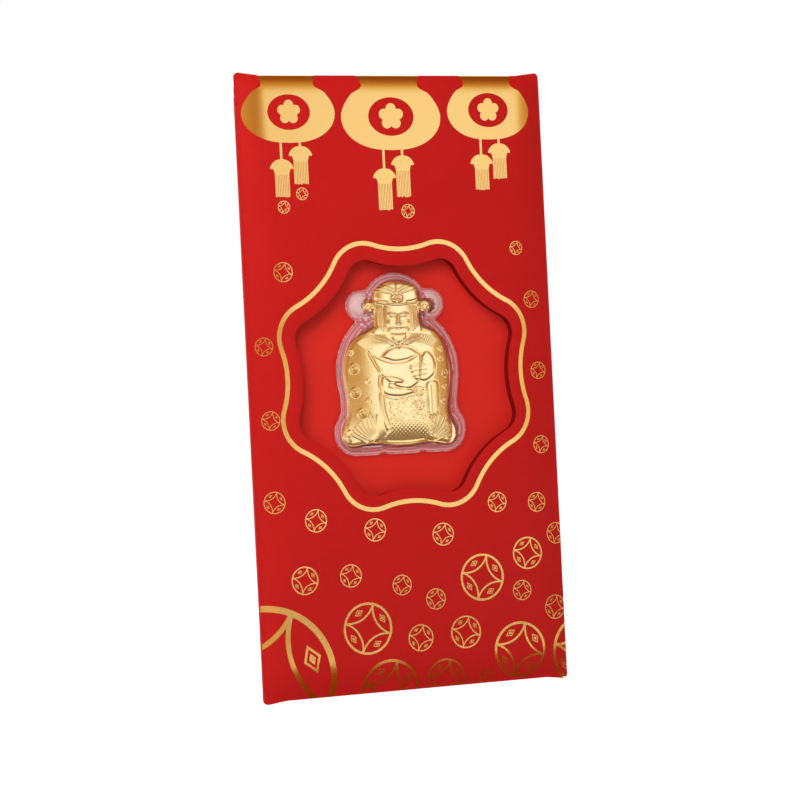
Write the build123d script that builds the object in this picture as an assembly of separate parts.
from build123d import *
import math
import os

# A red gift envelope with a shaped window, a padded lining and a gold relief in a clear capsule.
# It is drawn lying face up: X across, Y from the bottom edge to the top, Z out of the front,
# with Z = 0 where the front sheet meets the folded tabs. stand_up turns it on to its bottom edge.

# Sheet outline
envelope_width = 90.0
envelope_height = 170.0
corner_rise = 0.8
corner_reach = 6.5
corner_radius = 1.2

# Paper and creases
paper = 0.35
crease_margin = 0.6
front_rise = 1.25
front_side_ramp = 7.0
front_bottom_ramp = 7.0
front_top_ramp = 2.6
back_side_ramp = 6.0
back_bottom_ramp = 6.6
back_top_ramp = 30.0
mouth_drop = 6.0
tab_width = 12.0
tab_bottom_gap = 4.0
tab_top_gap = 3.2

# Closure flap
flap_length = 24.0
flap_taper = 7.0
flap_corner_radius = 5.0
flap_gap = 0.08
flap_side_clearance = 0.5
hinge_clearance = 0.12

# Lining behind the window
lining_side_clearance = 0.4
lining_bottom_clearance = 0.4
lining_top_rise = 1.2
lining_corner_radius = 3.0
spacer_depth = 3.5
card_depth = 1.0
pocket_depth = 0.7
spacer_setback = 0.3

# Wavy window and the gold line round it
wave_lobes = 8
wave_side_margin = 6.5
wave_depth = 4.0
wave_crest_radius = 9.5
line_width = 1.45
line_raise = 1.9
line_shift = 0.2
window_inset = 4.1
window_shift = 0.5
window_drop = 0.5

# Clear capsule: its outline as drawn about its own centre, then fitted to the window's height
capsule_window_gap = 11.1
capsule_shift = -1.7
capsule_raise = 3.7
capsule_head_radius = 10.0
capsule_head_height = 15.0
capsule_ear_radius = 4.3
capsule_ear_spread = 10.2
capsule_ear_height = 16.2
capsule_body_radius = 18.15
capsule_body_height = -2.0
capsule_base_width = 38.8
capsule_base_depth = 12.8
capsule_base_height = -18.3
capsule_base_radius = 6.0
capsule_bar = 3.6
capsule_waist_width = 34.5
capsule_rim = 1.1
capsule_wall = 0.4
capsule_dome = 2.4
pad_depth = 0.3
pad_inset = 2.5

# Gold relief, drawn and fitted as the capsule is
figure_clearance = 0.7
figure_plate = 0.7
figure_robe_depth = 1.1
figure_head_depth = 1.35
figure_ingot_depth = 1.6
figure_robe_radius = 12.2
figure_head_radius = 5.8
figure_hat_width = 14.4
figure_hat_depth = 6.6
ingot_width = 15.6
ingot_depth = 8.4
ingot_height = -1.2
ingot_keel_width = 8.0

# Gold foil print
foil = 0.05
print_gap = 0.2
disc_squash = 0.79
blossom_petals = 5
blossom_share = 0.55
tassel_string_width = 0.6
tassel_cap_width = 6.2
tassel_cap_height = 3.8
tassel_skirt_width = 4.2
tassel_cord_spread = 2.75
neck_flare = 3.2
coin_line = 0.055
coin_waist = 0.42
coin_turn = 30.0

# Each lantern: x, drop of its centre below the top edge, width, height, neck width, disc width,
# then the drops of its two tassel caps below its centre and the length of their skirts
lanterns = [
    (-30.3, 10.2, 26.5, 16.6, 15.0, 12.2, 14.8, 11.3, 8.3),
    (-0.6, 11.5, 29.3, 18.4, 16.6, 13.4, 16.3, 12.8, 9.4),
    (28.6, 9.8, 24.8, 16.4, 14.6, 12.0, 14.4, 11.4, 7.9),
]

# Each coin under the tassels: x, drop below the top edge, diameter
tassel_coins = [(-27.6, 32.3, 3.4), (-33.0, 35.8, 3.5), (3.1, 37.5, 3.9)]

# Each coin of the field: x and height from the gold line's centre, diameter
field_coins = [
    (34.9, 34.0, 3.9), (-34.3, 29.0, 5.4), (-40.6, 9.1, 5.0), (-39.7, -10.8, 5.2), (39.0, 19.6, 4.8),
    (40.1, -0.3, 4.8), (39.9, -21.0, 5.0), (-39.8, -32.8, 6.0), (-28.4, -38.3, 6.3), (-11.4, -41.8, 6.3),
    (8.6, -44.2, 6.3), (25.3, -36.3, 5.6), (37.5, -37.0, 5.5), (43.2, -46.0, 6.0), (-32.4, -54.2, 7.7),
    (-19.1, -53.8, 6.3), (-4.3, -57.3, 5.6), (5.5, -61.8, 5.8), (31.6, -61.2, 5.6), (41.8, -66.6, 6.8),
    (19.7, -56.8, 13.0), (33.8, -51.0, 9.0), (-14.9, -68.4, 14.2), (0.5, -72.1, 7.4), (14.0, -71.5, 9.0),
    (30.1, -77.5, 15.4), (-8.8, -85.6, 16.8), (7.6, -84.0, 11.4), (19.6, -84.4, 4.0), (50.1, -79.4, 19.6),
    (-43.4, -77.7, 35.8),
]

# Sizes and levels that follow from the ones above
half_width = envelope_width / 2
top_edge = envelope_height - corner_rise
spacer_back = front_rise - spacer_depth
card_back = spacer_back - card_depth
back_drop = pocket_depth - card_back - paper
front_face = front_rise + paper
back_face = -back_drop - 2 * paper
bead_radius = (4 * paper + flap_gap) / 2
hinge_height = paper - bead_radius
hinge_y = top_edge - bead_radius
front_top = hinge_y - bead_radius - hinge_clearance
fold_width = envelope_width - 2 * corner_reach
flap_width = fold_width - 2 * flap_side_clearance
lining_width = envelope_width - 2 * (crease_margin + front_side_ramp + lining_side_clearance)
lining_bottom = corner_rise + crease_margin + front_bottom_ramp + lining_bottom_clearance
lining_top = top_edge - crease_margin - back_top_ramp + lining_top_rise
wave_peak_radius = half_width - wave_side_margin
wave_valley_radius = wave_peak_radius - wave_depth
line_centre = (line_shift, envelope_height / 2 + line_raise)
window_centre = (line_centre[0] + window_shift, line_centre[1] - window_drop)
capsule_centre = (window_centre[0] + capsule_shift, window_centre[1] + capsule_raise)
capsule_drawn_top = capsule_head_height + capsule_head_radius
capsule_drawn_height = capsule_drawn_top - capsule_base_height + capsule_base_depth / 2
capsule_scale = (2 * (wave_valley_radius - window_inset) - capsule_window_gap) / capsule_drawn_height
capsule_floor = spacer_back + pad_depth + capsule_wall
depth_centre = (front_face + foil + back_face) / 2
tip_slope = corner_rise / corner_reach
tip_lift = corner_radius * (tip_slope + math.hypot(1, tip_slope) - 1)
stand_up = Pos(0, depth_centre, -tip_lift) * Rot(90, 0, 0)


def slab(width, y_low, y_high, z_low, z_high):
    """A block centred on X between two heights and two levels."""
    block = Box(width, y_high - y_low, z_high - z_low)
    return Pos(0, (y_low + y_high) / 2, (z_low + z_high) / 2) * block


def lift(face, z_low, z_high):
    """A flat outline raised to a solid between two levels."""
    return Pos(0, 0, z_low) * extrude(face, amount=z_high - z_low, dir=(0, 0, 1))


def sheet_outline():
    """The envelope's outline: edges pulled in between four small corner tips."""
    inner = half_width - corner_reach
    points = [
        (-half_width, 0), (-inner, corner_rise), (inner, corner_rise), (half_width, 0),
        (half_width, envelope_height), (inner, top_edge), (-inner, top_edge), (-half_width, envelope_height),
    ]
    outline = make_face(Polyline(points, close=True))
    tips = [v for v in outline.vertices() if abs(abs(v.X) - half_width) < crease_margin]
    return fillet(tips, corner_radius)


def pillow(rise, side_ramp, bottom_ramp, top_ramp, top, below, above):
    """The padded form under one sheet: a flat middle that ramps down to the creases, moved up by above."""
    across = [
        (-half_width, -below), (half_width, -below), (half_width, above),
        (half_width - crease_margin, above), (half_width - crease_margin - side_ramp, rise + above),
        (crease_margin + side_ramp - half_width, rise + above), (crease_margin - half_width, above),
        (-half_width, above),
    ]
    bottom = corner_rise + crease_margin
    along = [
        (0, -below), (envelope_height, -below), (envelope_height, above), (top - crease_margin, above),
        (top - crease_margin - top_ramp, rise + above), (bottom + bottom_ramp, rise + above),
        (bottom, above), (0, above),
    ]
    section = make_face(Plane.XZ * Polyline(across, close=True))
    side = make_face(Plane.YZ * Polyline(along, close=True))
    run = extrude(section, amount=envelope_height, dir=(0, 1, 0))
    span = Pos(-half_width, 0, 0) * extrude(side, amount=envelope_width, dir=(1, 0, 0))
    return run & span


def front_pillow(below, above):
    return pillow(front_rise, front_side_ramp, front_bottom_ramp, front_top_ramp, front_top, below, above)


def back_pillow(below, above):
    form = pillow(back_drop, back_side_ramp, back_bottom_ramp, back_top_ramp, top_edge, below, above)
    return Rot(0, 180, 0) * form


def front_layer(low, high):
    """A layer of even depth over the front, low and high counted from the front sheet's inner side."""
    return front_pillow(-low, high) - front_pillow(paper, low)


def back_layer(low, high):
    """A layer of even depth over the back, low and high counted from the tabs' inner side."""
    return back_pillow(-low, high) - back_pillow(paper, low)


def wave_outline(centre, inset):
    """The eight-lobed line as tangent arcs, moved inwards by inset."""
    step = math.pi / wave_lobes
    crest_centre = wave_peak_radius - wave_crest_radius
    reach = crest_centre * math.cos(step)
    spare = wave_crest_radius**2 - crest_centre**2 - wave_valley_radius**2 + 2 * wave_valley_radius * reach
    hollow_radius = spare / (2 * (wave_valley_radius - reach - wave_crest_radius))
    hollow_centre = wave_valley_radius + hollow_radius
    share = (wave_crest_radius - inset) / (wave_crest_radius + hollow_radius)

    def at(radius, angle):
        return Vector(centre[0] + radius * math.cos(angle), centre[1] + radius * math.sin(angle))

    def joint(crest_angle, hollow_angle):
        crest = at(crest_centre, crest_angle)
        return crest + (at(hollow_centre, hollow_angle) - crest) * share

    arcs = []
    for lobe in range(wave_lobes):
        crest = (2 * lobe + 1) * step
        start = joint(crest, crest - step)
        middle = joint(crest, crest + step)
        end = joint(crest + 2 * step, crest + step)
        arcs.append(ThreePointArc(start, at(wave_peak_radius - inset, crest), middle))
        arcs.append(ThreePointArc(middle, at(wave_valley_radius - inset, crest + step), end))
    return make_face(Wire(arcs))


def front_panel():
    sheet = front_layer(0, paper) & lift(sheet_outline(), 0, front_face)
    fold_room = slab(fold_width, front_top, envelope_height, 0, front_face)
    window = lift(wave_outline(window_centre, window_inset), 0, front_face)
    return sheet - fold_room - window


def back_panel():
    sheet = back_layer(paper, 2 * paper) & lift(sheet_outline(), back_face, 0)
    mouth = slab(envelope_width, top_edge - mouth_drop, envelope_height, back_face, 0)
    bottom_fold = slab(fold_width, corner_rise, corner_rise + crease_margin, -2 * paper, 0)
    return sheet - mouth + bottom_fold


def side_tab(side):
    """A glue tab folded from the front sheet's side edge, lying inside the back panel."""
    strip = Pos(side * (half_width - tab_width / 2), 0, 0) * slab(
        tab_width, tab_bottom_gap, top_edge - tab_top_gap, back_face, 0
    )
    return back_layer(0, paper) & strip


def closure_flap():
    end_y = hinge_y - flap_length
    root, end = flap_width / 2, flap_width / 2 - flap_taper
    points = [(-root, hinge_y), (-end, end_y), (end, end_y), (root, hinge_y)]
    outline = make_face(Polyline(points, close=True))
    tips = outline.vertices().sort_by(Axis.Y)[:2]
    outline = fillet(tips, flap_corner_radius)
    low = 2 * paper + flap_gap
    sheet = back_layer(low, low + paper) & lift(outline, 2 * back_face, 0)
    bead = Pos(0, hinge_y, hinge_height) * Rot(0, 90, 0) * Cylinder(bead_radius, flap_width)
    return sheet + bead


def lining_outline():
    panel = RectangleRounded(lining_width, lining_top - lining_bottom, lining_corner_radius)
    return Pos(0, (lining_bottom + lining_top) / 2, 0) * panel


def spacer_frame():
    frame = lift(lining_outline(), spacer_back, front_rise)
    return frame - lift(wave_outline(window_centre, window_inset - spacer_setback), spacer_back, front_rise)


def backing_card():
    return lift(lining_outline(), card_back, spacer_back)


def capsule_outline(inset):
    """Head, two side lobes on a bar, round body and wide base in one outline, moved inwards by inset."""
    trim = inset / capsule_scale
    outline = Pos(0, capsule_body_height) * Circle(capsule_body_radius - trim)
    outline += Pos(0, capsule_head_height) * Circle(capsule_head_radius - trim)
    outline += Pos(0, capsule_ear_height) * Rectangle(2 * capsule_ear_spread, 2 * (capsule_bar - trim))
    for side in (-1, 1):
        outline += Pos(side * capsule_ear_spread, capsule_ear_height) * Circle(capsule_ear_radius - trim)
    waist_height = capsule_body_height - capsule_base_height
    waist = Rectangle(capsule_waist_width - 2 * trim, waist_height)
    outline += Pos(0, capsule_base_height + waist_height / 2) * waist
    outline += Pos(0, capsule_base_height) * RectangleRounded(
        capsule_base_width - 2 * trim, capsule_base_depth - 2 * trim, capsule_base_radius - trim
    )
    return in_capsule(outline)


def in_capsule(face):
    """An outline drawn about the capsule's centre, brought to its size and place."""
    return Pos(*capsule_centre) * scale(face, capsule_scale)


def capsule_pad():
    return lift(capsule_outline(pad_inset), spacer_back, spacer_back + pad_depth)


def capsule_back():
    return lift(capsule_outline(0), capsule_floor - capsule_wall, capsule_floor)


def capsule_front():
    top = capsule_floor + capsule_dome
    flange = lift(capsule_outline(0), capsule_floor, capsule_floor + capsule_wall)
    dome = lift(capsule_outline(capsule_rim), capsule_floor, top)
    hollow = lift(capsule_outline(capsule_rim + capsule_wall), capsule_floor, top - capsule_wall)
    return flange + dome - hollow


def gold_figure():
    """The relief in plain tiers: a plate, the robe, the head and hat, and the boat-shaped ingot."""
    head_y = capsule_head_height - figure_hat_depth / 2
    head = Pos(0, head_y) * Circle(figure_head_radius)
    head += Pos(0, head_y + figure_head_radius) * Ellipse(figure_hat_width / 2, figure_hat_depth / 2)
    half, keel = ingot_width / 2, ingot_keel_width / 2
    rim_y = ingot_height + ingot_depth / 2
    keel_y = ingot_height - ingot_depth / 2
    boat = [
        ThreePointArc((-half, rim_y), (0, rim_y - ingot_depth / 4), (half, rim_y)),
        Line((half, rim_y), (keel, keel_y)),
        Line((keel, keel_y), (-keel, keel_y)),
        Line((-keel, keel_y), (-half, rim_y)),
    ]
    tiers = [
        (capsule_outline(capsule_rim + capsule_wall + figure_clearance), figure_plate),
        (in_capsule(Pos(0, capsule_body_height) * Circle(figure_robe_radius)), figure_robe_depth),
        (in_capsule(head), figure_head_depth),
        (in_capsule(make_face(Wire(boat))), figure_ingot_depth),
    ]
    relief = Part()
    for face, depth in tiers:
        relief += lift(face, capsule_floor, capsule_floor + depth)
    return relief


def foil_print(faces):
    """Foil on the front sheet wherever the flat outlines lie, following the sheet's ramps."""
    skin = front_layer(paper, paper + foil) & lift(sheet_outline(), 0, front_face + foil)
    skin -= slab(fold_width, front_top, envelope_height, 0, front_face + foil)
    return skin & Compound([lift(face, 0, front_face + foil) for face in faces])


def field_print(faces):
    """Foil outside the gold line, kept clear of it."""
    line = wave_outline(line_centre, -line_width / 2 - print_gap)
    return foil_print(faces) - lift(line, 0, front_face + foil)


def window_foil():
    outer = wave_outline(line_centre, -line_width / 2)
    return foil_print([outer - wave_outline(line_centre, line_width / 2)])


def blossom(radius):
    """A plain five-petalled flower."""
    petal = radius / 2
    flower = Circle(petal)
    for index in range(blossom_petals):
        flower += Rot(0, 0, 90 + index * 360 / blossom_petals) * Pos(petal, 0) * Circle(petal)
    return flower


def tassel(x, body_y, cap_y, skirt):
    """A string from the lantern's middle, a cap and a straight skirt."""
    string = Pos(x, (body_y + cap_y) / 2) * Rectangle(tassel_string_width, body_y - cap_y)
    cap = Pos(x, cap_y) * Ellipse(tassel_cap_width / 2, tassel_cap_height / 2)
    fringe = Pos(x, cap_y - skirt / 2) * Rectangle(tassel_skirt_width, skirt)
    return string + cap + fringe


def lantern_foils():
    prints = []
    for x, drop, width, height, neck, disc, left_drop, right_drop, skirt in lanterns:
        y = top_edge - drop
        hole = Pos(x, y) * Ellipse(disc / 2, disc * disc_squash / 2)
        neck_points = [
            (x - neck / 2, y), (x - neck / 2, front_top - neck_flare),
            (x - neck / 2 - neck_flare / 2, front_top + neck_flare),
            (x + neck / 2 + neck_flare / 2, front_top + neck_flare),
            (x + neck / 2, front_top - neck_flare), (x + neck / 2, y),
        ]
        body = Pos(x, y) * Ellipse(width / 2, height / 2) + make_face(Polyline(neck_points, close=True))
        body += tassel(x - tassel_cord_spread, y, y - left_drop, skirt)
        body += tassel(x + tassel_cord_spread, y, y - right_drop, skirt)
        prints.append(body - hole)
        prints.append(Pos(x, y) * blossom(disc * blossom_share / 2))
    return field_print(prints)


def coin_face():
    """A coin of unit diameter: a ring and four bowed lines that leave a square hole in the middle."""
    radius = 1 / 2
    ring = Circle(radius) - Circle(radius - coin_line)
    sag = radius * (math.sqrt(0.5) - coin_waist)
    bow = (sag**2 + radius**2 / 2) / (2 * sag)
    stand = radius * coin_waist + bow
    arcs = Sketch()
    for index in range(4):
        turn = Rot(0, 0, coin_turn + index * 90)
        arcs += turn * Pos(stand, 0) * (Circle(bow + coin_line / 2) - Circle(bow - coin_line / 2))
    return ring + (arcs & Circle(radius))


def coin_foils():
    unit = coin_face()
    faces = [Pos(x, top_edge - drop) * scale(unit, diameter) for x, drop, diameter in tassel_coins]
    cx, cy = line_centre
    faces += [Pos(cx + x, cy + y) * scale(unit, diameter) for x, y, diameter in field_coins]
    return field_print(faces)


def main():
    nodes = {
        "front_panel": front_panel(),
        "back_panel": back_panel(),
        "side_tab_left": side_tab(-1),
        "side_tab_right": side_tab(1),
        "closure_flap": closure_flap(),
        "spacer_frame": spacer_frame(),
        "backing_card": backing_card(),
        "capsule_pad": capsule_pad(),
        "capsule_back": capsule_back(),
        "capsule_front": capsule_front(),
        "gold_figure": gold_figure(),
        "window_foil": window_foil(),
        "lantern_foils": lantern_foils(),
        "coin_foils": coin_foils(),
    }
    os.makedirs("parts", exist_ok=True)
    for name, shape in nodes.items():
        export_step(stand_up * shape, f"parts/{name}.step")
        print(name, len(shape.solids()), "solids", round(shape.volume, 1), "mm3")


main()
